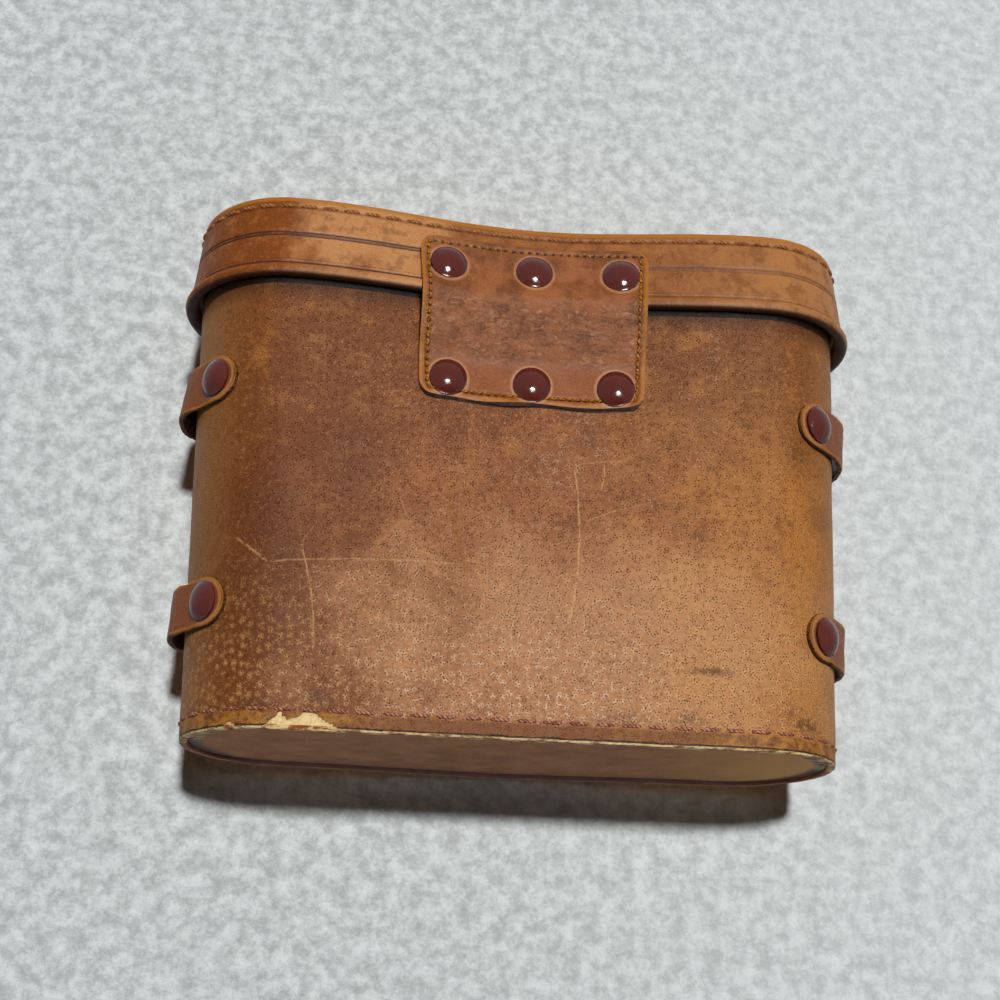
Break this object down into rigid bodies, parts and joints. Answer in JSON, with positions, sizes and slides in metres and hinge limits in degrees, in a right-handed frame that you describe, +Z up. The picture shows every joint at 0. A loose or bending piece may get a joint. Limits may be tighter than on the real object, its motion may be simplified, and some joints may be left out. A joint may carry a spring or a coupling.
{
  "type": "binocular hard case",
  "caption": "Hard leather case with a flared lid on a riveted leather hinge patch, strap loops on both ends and a push-button closure tab.",
  "frame": {"origin": "middle of the bottom edge's resting plane: the centre of the case's rounded ends in X and Y", "axes": "+Z up, +X along the case's width, +Y towards the hinge patch at the back, -Y towards the latch at the front"},
  "size_m": [0.1963, 0.0806, 0.1484],
  "materials": {
    "case_leather": "waxed pigskin, worn",
    "bottom_leather": "plain tan leather, rubbed",
    "strip_leather": "waxed strip leather",
    "patch_leather": "burnished leather",
    "board": "pressed fibreboard",
    "felt": "flocked felt",
    "thread": "waxed linen thread",
    "enamel": "glossy brown enamel on brass",
    "brass": "satin brass",
    "steel": "bright steel"
  },
  "bodies": {
    "case_body": {"body_wall": "case_leather", "body_board": "board", "body_lining": "felt", "bottom_pan": "bottom_leather", "bottom_board": "board", "bottom_pad": "felt", "bottom_thread": "thread", "hinge_patch_lower": "patch_leather", "hinge_rivets_lower": "enamel", "hinge_washers_lower": "brass", "patch_thread_lower": "thread", "loop_upper_right": "strip_leather", "loop_lower_right": "strip_leather", "loop_upper_left": "strip_leather", "loop_lower_left": "strip_leather", "loop_rivets": "enamel", "loop_washers": "brass", "latch_plate": "brass", "latch_stud": "brass", "latch_plate_rivets": "brass", "latch_back_plate": "brass", "latch_spring": "steel"},
    "push_button": {"push_button": "brass"},
    "latch_bolt": {"latch_bolt": "steel"},
    "lid": {"lid_wall": "case_leather", "lid_pan": "bottom_leather", "lid_board": "board", "lid_top_board": "board", "lid_lining": "felt", "lid_top_lining": "felt", "lid_thread": "thread", "hinge_patch_upper": "patch_leather", "hinge_rivets_upper": "enamel", "hinge_washers_upper": "brass", "patch_thread_upper": "thread", "tab_anchor": "patch_leather", "tab_rivets": "enamel", "tab_washers": "brass"},
    "closure_tab": {"tab_strap": "patch_leather", "tab_hasp": "brass", "hasp_rivets": "enamel"}
  },
  "joints": [
    {"name": "lid_hinge", "type": "hinge", "parent": "case_body", "child": "lid", "pos_m": [0, 0.031, 0.1205], "axis": [-1, 0, 0], "range_deg": [0, 120]},
    {"name": "tab_hinge", "type": "hinge", "parent": "lid", "child": "closure_tab", "pos_m": [0, -0.0382, 0.121], "axis": [-1, 0, 0], "range_deg": [-20, 80], "stiffness_Nm_per_rad": 0.06},
    {"name": "button_press", "type": "slide", "parent": "case_body", "child": "push_button", "axis": [0, 1, 0], "range_m": [0, 0.0015], "stiffness_N_per_m": 300, "springref_m": -0.001, "deforming": ["latch_spring"]},
    {"name": "bolt_slide", "type": "slide", "parent": "case_body", "child": "latch_bolt", "axis": [0, 0, 1], "range_m": [0, 0.0012]}
  ],
  "couplings": [
    {"joint": "bolt_slide", "follows": "button_press", "ratio": 0.78}
  ]
}
